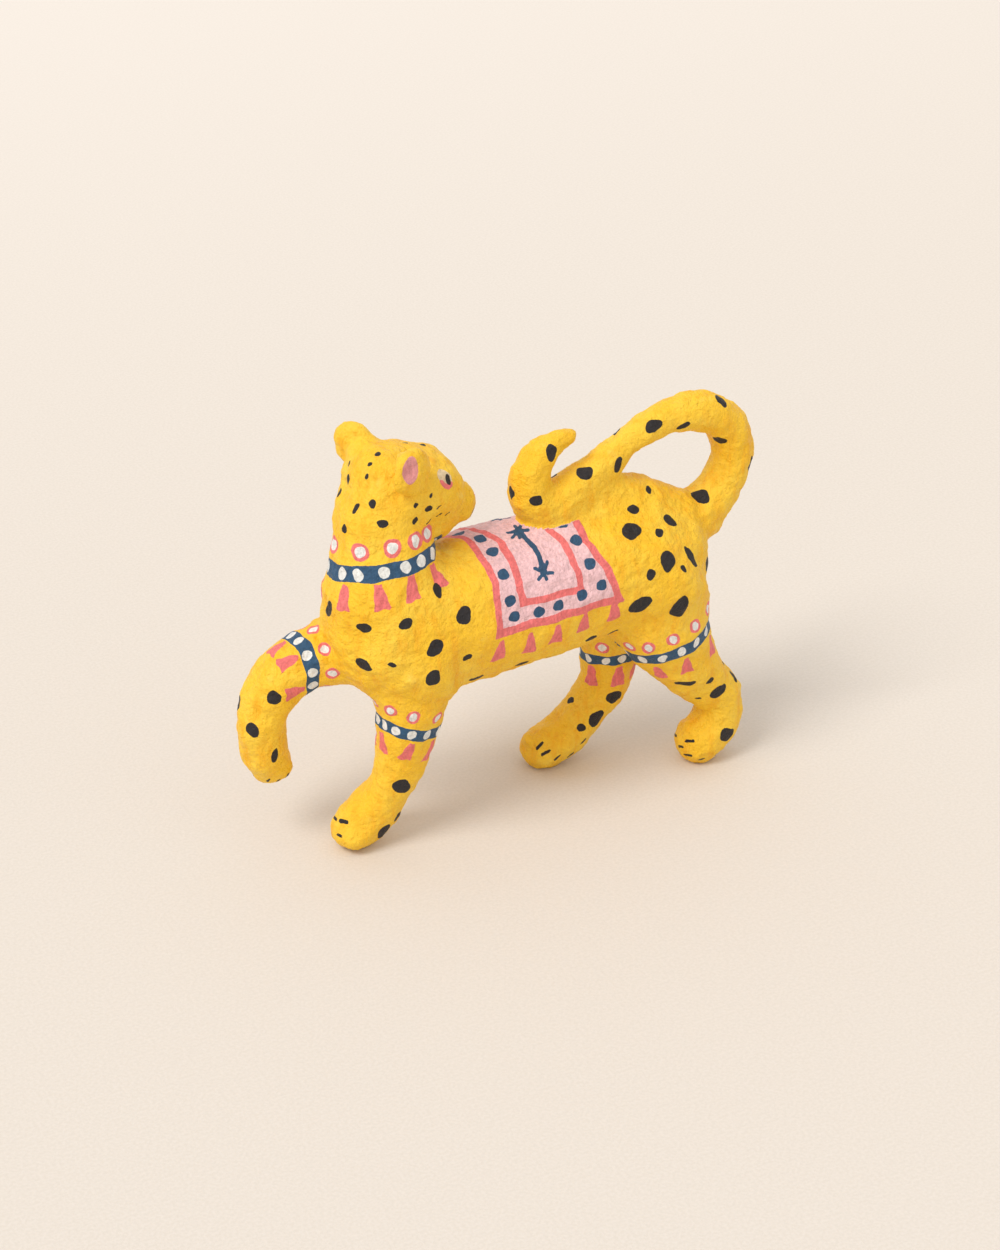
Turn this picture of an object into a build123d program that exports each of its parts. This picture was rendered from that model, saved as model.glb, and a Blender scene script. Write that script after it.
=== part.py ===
from build123d import *
from math import radians, sqrt, tan
import os

# A papier-mache big cat that walks to -X with its head turned back to +X.
# Bent wires carry crumpled newspaper, masking tape holds the paper, and a pasted paper skin covers it.
# Millimetres, +Z up, left flank on -Y. Everything is moved at the end so that the origin is the
# middle of the footprint on the table.

# ---- driving dimensions ----
skin = 1.6          # pasted paper skin
tape = 0.4          # masking tape, two layers
tape_width = 12     # along the limb
wire = 1.6          # armature wire, diameter
tie = 0.8           # binding wire, diameter
tie_gap = 0.2       # binding wire stands this clear of the wires that it holds
card = 1.4          # card inside an ear, thickness
ear_wide = 6.5      # half the width of an ear, paper included
ear_tall = 7.2      # half its height
ear_thick = 4.4     # its thickness, paper included
ear_round = 1.3     # radius of its rim
ear_turn = 40       # degrees that an ear faces outwards from straight ahead
ear_lean = 35       # degrees that it leans out from upright

# Stations along each limb: x, y, z of its middle, then half its width (across) and half its depth.
torso = [
    (-46, 0, 82, 22, 23),
    (-30, 0, 79.5, 24.5, 25),
    (-8, 0, 78.5, 24.5, 24.5),
    (16, 0, 79.5, 24, 24),
    (38, 0, 82.5, 24, 24),
    (52, 0, 82.5, 23.5, 24),
    (62, 0, 81, 21, 22),
]
neck = [
    (-44, 0, 80, 20, 21),
    (-44, 0, 94, 19.5, 20),
    (-43, 2, 106, 18, 18),
    (-41.5, 5, 117, 17, 16.5),
    (-41.5, 6, 129, 15, 14.5),
]
head = [
    (-46, 6, 131, 15.5, 13.5),
    (-37, 6, 129, 16.5, 13.5),
    (-28, 5.5, 126.5, 15.5, 13.8),
    (-21.5, 5, 124, 13.6, 13),
    (-17.8, 5, 121.2, 10.4, 9.6),
    (-12.4, 5, 117.8, 7.6, 6.8),
]
left_foreleg = [
    (-38, -9, 76, 13, 14),
    (-39, -10, 56, 12, 12.5),
    (-41, -9.5, 44, 10.5, 10.5),
    (-42.5, -9, 33, 9, 9),
    (-46, -7.5, 22.5, 8, 8),
    (-50.5, -5.5, 14.5, 8.5, 8.5),
    (-57, -4.5, 7.5, 8.5, 8.5),
]
right_foreleg = [
    (-44, 9, 74, 13, 13),
    (-58, 10, 69, 11.5, 11),
    (-69, 11, 67.5, 10.5, 10),
    (-79, 11, 62, 10.5, 9.5),
    (-84.5, 11, 50, 9, 8.5),
    (-84.5, 11, 39, 8.5, 8.5),
    (-82, 11, 31.5, 7.5, 7.5),
]
left_hindleg = [
    (54, -8, 78, 14, 19),
    (57.5, -10, 61, 15, 17.5),
    (64, -11, 47, 12, 13),
    (73, -11, 34, 9.5, 10),
    (81, -11, 24, 8.5, 8.5),
    (81, -11, 14.5, 8.5, 8.5),
    (74, -11, 7.5, 8.5, 8.5),
]
right_hindleg = [
    (52, 7, 76, 15, 17),
    (49.8, 10, 50, 11.5, 13),
    (49.6, 11, 40, 10, 11),
    (48, 11, 29, 8.5, 9),
    (40.5, 11, 18.5, 8, 8),
    (31, 11, 10.5, 8.5, 8.5),
    (25, 11, 7.5, 8.5, 8.5),
]
tail = [
    (64, 0, 84, 9, 9),
    (76, 0, 91, 8.5, 8.5),
    (86, 0, 102, 7.5, 7.5),
    (90.5, 0, 114, 7.5, 7.5),
    (86.5, 0, 125.5, 7.5, 7.5),
    (76, 0, 132, 7, 7),
    (63, 0, 132, 6, 6),
    (51, 0, 128, 5.2, 5.2),
    (39, 0, 120.5, 6, 6),
    (28, 0, 114.5, 7, 7.5),
    (18, 0, 111.5, 8, 8),
    (12, 0, 115, 7.5, 7.5),
    (11, 0, 122, 7.2, 7.2),
    (14.5, 0, 129, 5.5, 5.5),
    (20.5, 0, 133, 4.2, 4.2),
    (26.5, 0, 134, 3, 3),
]

# Rounded ends of each limb: how far the dome reaches past the first and the last station.
domes = {
    "torso": (torso, 17, 15),
    "neck": (neck, 0, 0),
    "head": (head, 11, 3.6),
    "left_foreleg": (left_foreleg, 0, 8.5),
    "right_foreleg": (right_foreleg, 0, 8),
    "left_hindleg": (left_hindleg, 0, 9),
    "right_hindleg": (right_hindleg, 0, 8.5),
    "tail": (tail, 0, 2.5),
}
dome_steps = (0.4, 0.75, 0.95)
bent_limbs = [name for name in domes if name.endswith("leg") or name == "tail"]

# Middle of each ear, and the side it faces: -1 is the left flank.
ears = {
    "left_ear": ((-41, -10.5, 141.5), -1),
    "right_ear": ((-43, 20.5, 138.5), 1),
}

# The stations that masking tape is wound at, counted from the first.
taped = {
    "torso": (2, 4),
    "neck": (2,),
    "head": (2,),
    "left_foreleg": (3,),
    "right_foreleg": (2, 4),
    "left_hindleg": (3,),
    "right_hindleg": (3,),
    "tail": (3, 7, 9),
}

# Middle lines of the armature wires. Each pair of legs hangs on one hooped wire over the spine wire.
wire_gap = 0.1      # between wires that lie together
spine_height = 79
hoop_height = spine_height + wire + wire_gap
shoulder_at = -22
hip_at = 34
tail_side = wire + wire_gap

# A bend takes up this share of the shorter run on either side of it.
bend_share = 0.45

# Turns of binding wire where the tail wire lies along the spine wire.
tail_tie_at = 44
tail_tie_step = 1.5
tail_ties = 6
wires = {
    "spine_wire": [
        (-20, 4, 124),
        (-40, 6, 129),
        (-43, 2, 106),
        (-43, 0, 90),
        (-32, 0, spine_height),
        (58, 0, spine_height),
    ],
    "foreleg_wire": [
        (-56.5, -4.5, 7.5),
        (-49.5, -5.5, 15),
        (-44, -8, 28),
        (-41, -9.5, 46),
        (-34, -9, 68),
        (shoulder_at, -8, hoop_height),
        (shoulder_at, 8, hoop_height),
        (-38, 9, 72.5),
        (-57, 10, 69),
        (-70, 11, 66.5),
        (-80, 11, 60),
        (-84.5, 11, 49),
        (-84, 11, 38),
        (-82, 11, 31),
    ],
    "hindleg_wire": [
        (73, -11, 8),
        (79.5, -11, 14),
        (79, -11, 25),
        (66, -11, 44),
        (53, -9, 66),
        (hip_at, -8, hoop_height),
        (hip_at, 8, hoop_height),
        (49, 9, 68),
        (51, 10.5, 44),
        (47, 11, 27),
        (36, 11, 14),
        (26, 11, 8.5),
    ],
    "tail_wire": [
        (40, tail_side, spine_height),
        (57, tail_side, spine_height),
        (74, 0, 89.5),
        (86, 0, 102),
        (90.5, 0, 114),
        (86, 0, 126),
        (75, 0, 132.5),
        (62, 0, 131.5),
        (40, 0, 121),
        (25, 0, 113),
        (14, 0, 114),
        (11.5, 0, 122),
        (16, 0, 130),
        (25, 0, 133.8),
    ],
}


def dome(inner, last, reach, inset):
    """Extra stations past the last one, on a quarter ellipse."""
    way = Vector(*last[:3]) - Vector(*inner[:3])
    way = way.normalized()
    rings = []
    for step in dome_steps:
        shrink = sqrt(1 - step * step)
        place = Vector(*last[:3]) + way * (step * (reach - inset))
        rings.append((place.X, place.Y, place.Z, last[3] * shrink, last[4] * shrink))
    return rings


def between(a, b, c, d):
    """The station halfway from b to c, on the smooth curve that also passes a and d."""
    return tuple((9 * (q + r) - p - s) / 16 for p, q, r, s in zip(a, b, c, d))


def rings_of(name, inset):
    """All the stations of a limb, drawn in by inset. A bent limb gets one more between each two."""
    stations, first_reach, last_reach = domes[name]
    rings = [(x, y, z, w - inset, d - inset) for x, y, z, w, d in stations]
    fine = [rings[0]]
    for i in range(len(rings) - 1):
        if name in bent_limbs:
            earlier, later = rings[max(i - 1, 0)], rings[min(i + 2, len(rings) - 1)]
            fine.append(between(earlier, rings[i], rings[i + 1], later))
        fine.append(rings[i + 1])
    if first_reach:
        fine = dome(rings[1], rings[0], first_reach, inset)[::-1] + fine
    if last_reach:
        fine = fine + dome(rings[-2], rings[-1], last_reach, inset)
    return fine


def limb(name, inset=0.0):
    """The solid of a limb, drawn in by inset all round. Its sections stand square to its middle line."""
    rings = rings_of(name, inset)
    middles = [Vector(*r[:3]) for r in rings]
    sections = []
    for i, ring in enumerate(rings):
        before = middles[max(i - 1, 0)]
        after = middles[min(i + 1, len(rings) - 1)]
        plane = Plane(origin=middles[i], x_dir=(0, 1, 0), z_dir=after - before)
        sections.append((plane * Ellipse(ring[3], ring[4])).face())
    return loft(sections, ruled=True)


def bent_wire(points):
    """A round wire of straight runs and the largest arcs that they leave room for."""
    corners = [Vector(*p) for p in points]
    radii = []
    for a, b, c in zip(corners, corners[1:], corners[2:]):
        half_turn = radians((b - a).get_angle(c - b) / 2)
        radii.append(bend_share * min((b - a).length, (c - b).length) / tan(half_turn))
    middle_line = FilletPolyline(*points, radius=radii)
    start = Plane(origin=middle_line @ 0, z_dir=middle_line % 0)
    return sweep(start * Circle(wire / 2), path=middle_line)


def tie_ring(middle, facing, radius):
    """One closed turn of binding wire round an axis."""
    return Plane(origin=middle, z_dir=facing) * Torus(radius, tie / 2)


def lashing(along):
    """Two crossed turns that hold a hooped wire down on the spine wire."""
    middle = (along, 0, (spine_height + hoop_height) / 2)
    inner_turn = (hoop_height - spine_height + wire) / 2 + tie_gap + tie / 2
    outer_turn = inner_turn + tie + tie_gap
    return [tie_ring(middle, (1, 1, 0), inner_turn), tie_ring(middle, (1, -1, 0), outer_turn)]


def tail_turns():
    """A row of turns round the spine wire and the tail wire where they lie side by side."""
    turn = (tail_side + wire) / 2 + tie_gap + tie / 2
    places = [tail_tie_at + tail_tie_step * i for i in range(tail_ties)]
    return [tie_ring((x, tail_side / 2, spine_height), (1, 0, 0), turn) for x in places]


def tape_bands(name):
    """Rings of masking tape on the core of a limb, one at each taped station."""
    paper = limb(name, skin).cut(limb(name, skin + tape))
    stations = domes[name][0]
    bands = []
    for i in taped[name]:
        here = stations[i]
        after = stations[i + 1]
        way = Vector(*after[:3]) - Vector(*stations[i - 1][:3])
        slab = 2 * max(here[3:]) + tape_width
        plane = Plane(origin=here[:3], x_dir=(0, 1, 0), z_dir=way)
        bands.append(paper & (plane * Box(slab, slab, tape_width)))
    return bands


def ear_plane(middle, side):
    """The plane of an ear: it faces forwards and outwards, and leans out."""
    facing = Vector(1, 0, 0).rotate(Axis.Z, side * ear_turn)
    upright = Vector(0, 0, 1).rotate(Axis.X, -side * ear_lean)
    return Plane(origin=middle, x_dir=upright.cross(facing), z_dir=facing)


def ear(middle, side):
    """The card tongue of an ear and the paper round it."""
    plane = ear_plane(middle, side)
    tongue = extrude(Ellipse(ear_wide - skin, ear_tall - skin), card / 2, both=True)
    flap = extrude(Ellipse(ear_wide, ear_tall), ear_thick / 2, both=True)
    flap = fillet(flap.edges(), ear_round)
    return plane * tongue, plane * (flap - tongue)


def cut(body, *tools):
    """body without the tools, as one solid or a group of solids."""
    left = body
    for tool in tools:
        left = left - tool
    return left


def build():
    """Every piece by name, in the frame that the stations are given in."""
    outer = {name: limb(name) for name in domes}
    inner = {name: limb(name, skin) for name in domes}
    legs = [name for name in domes if name.endswith("leg")]
    below = 100
    table_side = Pos(0, 0, -below / 2) * Box(4 * below, 2 * below, below)

    pieces = {name: bent_wire(points) for name, points in wires.items()}
    pieces["shoulder_binding"] = lashing(shoulder_at)
    pieces["hip_binding"] = lashing(hip_at)
    pieces["tail_binding"] = tail_turns()
    ties = pieces["shoulder_binding"] + pieces["hip_binding"] + pieces["tail_binding"]
    all_wires = [pieces[name] for name in wires]

    # What each limb's paper gives way to: the limb that it grows from, and one that it crosses.
    gives_way = {
        "torso": [],
        "neck": ["torso", "head"],
        "head": [],
        "left_foreleg": ["torso"],
        "right_foreleg": ["torso", "neck", "left_foreleg"],
        "left_hindleg": ["torso"],
        "right_hindleg": ["torso", "left_hindleg"],
        "tail": ["torso"],
    }
    open_at = {"torso": ["neck"] + legs, "head": ["neck"]}
    strung = {
        "torso": all_wires + ties,
        "neck": [pieces["spine_wire"]],
        "head": [pieces["spine_wire"]],
        "left_foreleg": [pieces["foreleg_wire"]],
        "right_foreleg": [pieces["foreleg_wire"]],
        "left_hindleg": [pieces["hindleg_wire"]],
        "right_hindleg": [pieces["hindleg_wire"]],
        "tail": [pieces["tail_wire"]],
    }

    for name in domes:
        mouths = [inner[other] for other in open_at.get(name, [])]
        others = gives_way[name]
        shell = cut(outer[name], inner[name], *mouths, *[outer[o] for o in others])
        # a core reaches in to the core that it is pressed on, except where it only passes a limb
        stops = [inner[o] if o in ("torso", "head") and name != "tail" else outer[o] for o in others]
        tapes = [cut(band, *stops) for band in tape_bands(name)]
        core = cut(inner[name], *stops, *tapes, *strung[name])
        pieces[name + "_skin"] = cut(shell, table_side)
        pieces[name + "_core"] = core
        pieces[name + "_tape"] = tapes
    pieces["torso_skin"] = cut(pieces["torso_skin"], pieces["tail_wire"])

    for name, (middle, side) in ears.items():
        tongue, flap = ear(middle, side)
        pieces[name + "_card"] = cut(tongue, outer["head"])
        pieces[name + "_skin"] = cut(flap, outer["head"])
    return pieces


def write(pieces):
    """Move the pieces so that the origin is the middle of the footprint, and write one file each."""
    os.makedirs("parts", exist_ok=True)
    whole = Compound([s for p in pieces.values() for s in solids_of(p)])
    box = whole.bounding_box()
    shift = Pos(-(box.min.X + box.max.X) / 2, -(box.min.Y + box.max.Y) / 2, -box.min.Z)
    for name, piece in pieces.items():
        moved = Compound([shift * s for s in solids_of(piece)])
        moved.label = name
        export_step(moved, "parts/" + name + ".step")
    print("shift", shift.position, "size", box.size)


def solids_of(piece):
    """The solids of a shape or of a list of shapes."""
    if isinstance(piece, (list, tuple)):
        return [s for p in piece for s in solids_of(p)]
    return list(piece.solids())


write(build())
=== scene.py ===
import bpy
import numpy as np
from math import radians
from mathutils import Euler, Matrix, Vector
from mathutils.bvhtree import BVHTree


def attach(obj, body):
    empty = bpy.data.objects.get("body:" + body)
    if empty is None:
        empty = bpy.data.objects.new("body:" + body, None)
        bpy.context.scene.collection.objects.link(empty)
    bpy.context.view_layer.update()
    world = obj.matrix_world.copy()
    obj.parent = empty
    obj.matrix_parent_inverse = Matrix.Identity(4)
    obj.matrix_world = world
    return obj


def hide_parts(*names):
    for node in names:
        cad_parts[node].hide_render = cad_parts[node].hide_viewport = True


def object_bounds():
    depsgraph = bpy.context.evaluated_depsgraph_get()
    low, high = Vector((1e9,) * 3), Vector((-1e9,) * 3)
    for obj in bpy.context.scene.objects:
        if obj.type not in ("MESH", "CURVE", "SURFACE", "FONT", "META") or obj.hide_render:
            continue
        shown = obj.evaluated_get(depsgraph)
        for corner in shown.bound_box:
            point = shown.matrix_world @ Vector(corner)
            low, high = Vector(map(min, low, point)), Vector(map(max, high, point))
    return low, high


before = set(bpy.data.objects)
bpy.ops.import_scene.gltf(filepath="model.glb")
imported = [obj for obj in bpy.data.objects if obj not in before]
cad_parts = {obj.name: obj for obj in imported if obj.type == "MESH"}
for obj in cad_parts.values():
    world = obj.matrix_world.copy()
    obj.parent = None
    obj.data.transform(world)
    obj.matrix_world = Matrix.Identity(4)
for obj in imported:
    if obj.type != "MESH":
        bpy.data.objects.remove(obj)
cadLow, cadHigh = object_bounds()
mm = 0.001

# The drawing's zero is under the withers. In the frame it is found from the front of the raised
# paw and the outermost point of the left flank.
drawnFront, drawnLeft = -93.5 * mm, -24.93 * mm
drawnZero = np.array([cadLow.x - drawnFront, cadLow.y - drawnLeft, 0.0])


# Points in drawing millimetres, as an array in the frame's metres.
def inFrame(points):
    return np.asarray(points, float)[..., :3] * mm + drawnZero


view = dict(turn=-28.0, rise=30.0, lens=105.0, away=1.2396, aim=(0.0, 0.0, 68.4))


# The camera stands away metres from the aim, turned about +Z from -Y and raised, looking at it.
def addCamera():
    data = bpy.data.cameras.new("camera")
    data.lens = view["lens"]
    data.sensor_width = 36.0
    data.clip_end = 20.0
    camera = bpy.data.objects.new("camera", data)
    bpy.context.scene.collection.objects.link(camera)
    turn, rise = radians(view["turn"]), radians(view["rise"])
    back = Vector((np.sin(turn) * np.cos(rise), -np.cos(turn) * np.cos(rise), np.sin(rise)))
    aim = Vector(inFrame(view["aim"]))
    camera.location = aim + back * view["away"]
    camera.rotation_euler = (-back).to_track_quat("-Z", "Y").to_euler()
    bpy.context.scene.camera = camera


lightSet = dict(
    sky=(1.0, 0.972, 0.945), skyStrength=0.86,
    sun=1.62, sunWidth=26.0, sunFrom=(-0.95, -0.25, 1.25), sunColour=(1.0, 0.972, 0.935),
)


# An even pale room, and one broad soft lamp from the upper left.
def addLights():
    world = bpy.data.worlds.new("studio")
    world.use_nodes = True
    sky = world.node_tree.nodes["Background"]
    sky.inputs["Color"].default_value = (*lightSet["sky"], 1)
    sky.inputs["Strength"].default_value = lightSet["skyStrength"]
    bpy.context.scene.world = world
    data = bpy.data.lights.new("softbox", "SUN")
    data.angle = radians(lightSet["sunWidth"])
    data.energy = lightSet["sun"]
    data.color = lightSet["sunColour"]
    lamp = bpy.data.objects.new("softbox", data)
    lamp.rotation_euler = (-Vector(lightSet["sunFrom"])).to_track_quat("-Z", "Y").to_euler()
    bpy.context.scene.collection.objects.link(lamp)
    bpy.context.scene.view_settings.view_transform = "Standard"
    bpy.context.scene.view_settings.look = "None"


# A mesh object from an array of points and a list of face arrays.
def meshObject(name, points, faces):
    mesh = bpy.data.meshes.new(name)
    mesh.from_pydata(np.asarray(points).tolist(), [], [f for part in faces for f in part.tolist()])
    mesh.validate()
    made = bpy.data.objects.new(name, mesh)
    bpy.context.scene.collection.objects.link(made)
    mesh.shade_smooth()
    return made


# Quads of a grid of points. With wrap the last column joins the first.
def gridFaces(rows, columns, wrap, start=0):
    r, c = np.meshgrid(np.arange(rows - 1), np.arange(columns if wrap else columns - 1), indexing="ij")
    after = (c + 1) % columns
    quads = np.stack([r * columns + c, r * columns + after, (r + 1) * columns + after,
                      (r + 1) * columns + c], -1)
    return quads.reshape(-1, 4) + start


# Replace a piece's mesh by what its modifiers make of it.
def applyModifiers(thing):
    graph = bpy.context.evaluated_depsgraph_get()
    graph.update()
    made = bpy.data.meshes.new_from_object(thing.evaluated_get(graph))
    thing.modifiers.clear()
    thing.data = made
    return thing


# A mesh's points as rows of x, y, z, and below it the same back again.
def corners(mesh):
    points = np.empty(len(mesh.vertices) * 3)
    mesh.vertices.foreach_get("co", points)
    return points.reshape(-1, 3)


def setCorners(mesh, points):
    mesh.vertices.foreach_set("co", np.ascontiguousarray(points, float).ravel())
    mesh.update()


# The unit normal at each point, as rows.
def vertexNormals(mesh):
    normals = np.empty(len(mesh.vertices) * 3)
    mesh.vertex_normals.foreach_get("vector", normals)
    return normals.reshape(-1, 3)


# Rows on a smooth curve through the stations, evenly about step apart.
# Catmull-Rom: each stretch is a cubic whose slope at a station is half the step between its neighbours.
def smoothLine(stations, step):
    rows = np.asarray(stations, float)
    padded = np.vstack([2 * rows[0] - rows[1], rows, 2 * rows[-1] - rows[-2]])
    out = []
    for a, b, c, d in zip(padded, padded[1:], padded[2:], padded[3:]):
        count = max(2, int(np.linalg.norm((c - b)[:3]) / step))
        t = np.linspace(0, 1, count, endpoint=False)[:, None]
        out.append(0.5 * (2 * b + (c - a) * t + (2 * a - 5 * b + 4 * c - d) * t ** 2
                          + (3 * b - a - 3 * c + d) * t ** 3))
    return np.vstack(out + [rows[-1:]])


# Along, side and face directions of a line: side is as near +Y as it can be, and face is along x side.
def lineFrames(middles):
    along = np.gradient(middles, axis=0)
    along /= np.linalg.norm(along, axis=1)[:, None]
    side = np.array([0.0, 1.0, 0.0]) - along * along[:, 1:2]
    side /= np.linalg.norm(side, axis=1)[:, None]
    return along, side, np.cross(along, side)


# A closed limb. Ellipses whose half width and half depth come with the middle line stand square
# to it, and each domed end is a quarter ellipse, so its rings shrink as sqrt(1 - t*t).
def tube(stations, firstDome=0.0, lastDome=0.0, around=40, step=1.5):
    rows = smoothLine(stations, step)
    along, side, face = lineFrames(rows[:, :3])

    def dome(reach, end, sign):
        t = np.linspace(0.15, 0.97, 8)[:, None]
        shrink = np.sqrt(1 - t ** 2)
        middle = rows[end, :3] + sign * along[end] * reach * t
        return np.hstack([middle, rows[end, 3:] * shrink])

    if firstDome:
        rows = np.vstack([dome(firstDome, 0, -1)[::-1], rows])
        along, side, face = (np.vstack([np.repeat(v[:1], 8, 0), v]) for v in (along, side, face))
    if lastDome:
        rows = np.vstack([rows, dome(lastDome, -1, 1)])
        along, side, face = (np.vstack([v, np.repeat(v[-1:], 8, 0)]) for v in (along, side, face))
    angle = np.linspace(0, 2 * np.pi, around, endpoint=False)[None, :, None]
    ring = (rows[:, None, :3] + np.cos(angle) * rows[:, None, 4:5] * face[:, None]
            + np.sin(angle) * rows[:, None, 3:4] * side[:, None])
    count = len(rows)
    points = np.vstack([ring.reshape(-1, 3), rows[0, :3], rows[-1, :3]])
    quads = gridFaces(count, around, True)[:, ::-1]
    k = np.arange(around)
    first = np.stack([k, (k + 1) % around, np.full(around, count * around)], -1)
    base = (count - 1) * around
    last = np.stack([base + (k + 1) % around, base + k, np.full(around, count * around + 1)], -1)
    return points, [quads, first[:, ::-1], last[:, ::-1]]


# An egg: x, y, z = radii times the point of a unit ball at (latitude, longitude), then leaned.
def ball(centre, radii, lean=(0, 0, 0), rows=24, columns=32):
    lat = np.linspace(-np.pi / 2, np.pi / 2, rows)[1:-1, None]
    lon = np.linspace(0, 2 * np.pi, columns, endpoint=False)[None, :]
    grid = np.stack([np.cos(lat) * np.cos(lon), np.cos(lat) * np.sin(lon), np.sin(lat) + 0 * lon], -1)
    points = np.vstack([grid.reshape(-1, 3), [[0, 0, -1], [0, 0, 1]]]) * radii
    turn = np.array(Euler([radians(a) for a in lean]).to_matrix())
    points = points @ turn.T + centre
    n = (rows - 2) * columns
    k = np.arange(columns)
    south = np.stack([(k + 1) % columns, k, np.full(columns, n)], -1)
    top = n - columns
    north = np.stack([top + k, top + (k + 1) % columns, np.full(columns, n + 1)], -1)
    return points, [gridFaces(rows - 2, columns, True), south, north]


# Stations of each limb in drawing millimetres: x, y, z of its middle, half width, half depth.
limbs = dict(
    torso=([(-46, 0, 82, 22, 23), (-30, 0, 78.8, 24.5, 24.3), (-8, 0, 79.7, 24.5, 25.7),
            (16, 0, 80.5, 24, 25),
            (38, 0, 82.5, 24, 24), (52, 0, 82.5, 23.5, 24), (62, 0, 81, 21, 22)], 17, 15),
    neck=([(-44, 0, 80, 20, 21), (-44, 0, 94, 19, 19.5), (-43, 2, 106, 17, 17), (-41.5, 5, 117, 15.5, 15),
           (-41, 6, 129, 13, 12.5)], 0, 0),
    head=([(-45, 6, 131, 13.8, 12.6), (-37, 6, 129, 16.5, 13.5), (-28, 5.5, 126.5, 15.5, 13.8),
           (-21.5, 5, 122.6, 12.8, 11.8),
           (-18, 5, 119.6, 9.8, 8.3), (-15.4, 5, 118.5, 8.4, 7.2), (-12.4, 5, 117.4, 7.4, 6.5)], 7.2, 3.6),
    leftForeleg=([(-38, -9, 76, 13, 14), (-39, -10, 56, 12, 12.5), (-41, -9.5, 44, 10.5, 10.5),
                  (-42.5, -9, 33, 9, 9), (-46, -7.5, 22.5, 8, 8), (-50.5, -5.5, 14.5, 8.5, 8.5),
                  (-57, -4.5, 7.5, 8.5, 8.5)], 0, 8.5),
    rightForeleg=([(-44, 9, 74, 13, 13), (-58, 10, 69, 11.5, 11), (-69, 11, 67.5, 10.5, 10),
                   (-79, 11, 62, 10.5, 9.5), (-84.5, 11, 50, 9, 8.5), (-84.5, 11, 39, 8.5, 8.5),
                   (-82, 11, 31.5, 7.5, 7.5)], 0, 8),
    leftHindleg=([(54, -8, 78, 14, 19), (57.5, -10, 61, 15, 17.5), (64, -11, 47, 12, 13),
                  (73, -11, 34, 9.5, 10),
                  (81, -11, 24, 8.5, 8.5), (81, -11, 14.5, 8.5, 8.5), (74, -11, 7.5, 8.5, 8.5)], 0, 9),
    rightHindleg=([(52, 7, 76, 15, 17), (49.8, 10, 50, 11.5, 13.5), (49.6, 11, 40, 10, 11),
                   (48, 11, 29, 8.7, 9.4),
                   (40.5, 11, 18.5, 8, 8), (31, 11, 10.5, 8.5, 8.5), (25, 11, 7.5, 8.5, 8.5)], 0, 8.5),
    tail=([(64, 0, 84, 9, 9), (76, 0, 91, 8.5, 8.5), (86, 0, 102, 7.5, 7.5), (90.5, 0, 114, 7.5, 7.5),
           (86.5, 0, 125.5, 7.5, 7.5), (76, 0, 132, 7, 7), (63, 0, 132, 6, 6), (51, 0, 128, 5.2, 5.2),
           (39, 0, 120.5, 6, 6), (28, 0, 114.5, 7, 7.5), (18, 0, 111.5, 8, 8), (12, 0, 115, 7.5, 7.5),
           (11, 0, 122, 7.2, 7.2), (14.5, 0, 129, 5.5, 5.5), (20.5, 0, 133, 4.2, 4.2),
           (26.5, 0, 134, 3, 3)], 0, 2.5),
    web=([(30, 0, 105, 7, 7), (42, 0, 107.5, 7, 8), (50, 0, 105.5, 7.5, 8), (58, 0, 100, 8.5, 8.5),
          (66, 0, 94, 9, 9)], 4, 4),
)
# What is modelled on to the limbs before the joints are pasted over:
# the middle, radii and lean of each egg of paper.
lumps = dict(
    jaw=((-23, 5, 115), (9, 9.5, 7), (0, 10, 0)),
    withers=((-38, 0, 94.5), (12, 12, 8), (0, 28, 0)),
    leftShoulder=((-36, -13, 72), (15, 12, 17), (0, 0, 0)),
    rightShoulder=((-40, 11, 74), (15, 12, 14), (0, 0, 0)),
    leftHaunch=((56, -10, 76), (17, 15, 21), (0, 0, 0)),
    rightHaunch=((54, 10, 76), (16, 14, 20), (0, 0, 0)),
)
# What is added last and stays crisp.
details = dict(
    leftEar=((-38.2, -11.8, 141.6), (3.3, 7.4, 8.6), (35, 0, -66)),
    rightEar=((-43.5, 19.5, 138.5), (3.5, 7.8, 8.4), (-35, 0, 40)),
    rightEarRoot=((-41.5, 15.5, 137), (7.5, 6.5, 6.0), (0, 20, 30)),
    chin=((-14.5, 5, 114.5), (5.6, 6.2, 4.2), (0, 8, 0)),
    nose=((-10.8, 5, 117.2), (3.3, 4.8, 4.2), (0, 0, 0)),
    foreToes=((-60.2, -4.5, 6.3), (6.2, 8.2, 6.2), (0, 0, 0)),
    hindToes=((71.5, -11, 6), (5.5, 8.0, 6), (0, 0, 0)),
    farToes=((21, 11, 6.5), (5.5, 8.0, 6.5), (0, 0, 0)),
    tornPaper=((17.2, 11, 11.5), (2.2, 3.0, 1.7), (0, -40, 0)),
)
# Thumb marks: the middle of each, the way it is pressed, how wide and how deep, in millimetres.
earPresses = [((-40.7, -15.8, 144.3), (-0.45, 0.89, 0), 3.2, 1.5),
              ((-39, 24, 138.5), (-0.77, -0.64, 0), 3.4, 1.4)]
presses = [
    ((-14.5, 5, 128.5), (-0.45, 0, -0.9), 5.0, 1.6), ((-22, -8, 130), (0, 1, 0), 4.5, 0.9),
    ((-22, 18, 130), (0, -1, 0), 4.5, 0.9),
    ((-3, -25, 88), (0, 1, 0), 9, 0.9), ((30, -25, 74), (0, 1, 0), 8, 1.1),
    ((-58, -14, 84), (0.6, 0.8, 0), 8, 0.9),
    ((66, -20, 84), (-0.4, 0.9, 0), 8, 1.0), ((18, 24, 84), (0, -1, 0), 10, 1.1),
    ((-86, 4, 56), (0.6, 0.8, 0), 6, 0.8),
    ((-44, -18, 34), (0, 1, 0), 6, 0.8), ((86, -16, 24), (-0.6, 0.8, 0), 6, 0.9),
    ((92, -6, 118), (-0.8, 0.6, 0), 6, 0.8),
]
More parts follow.
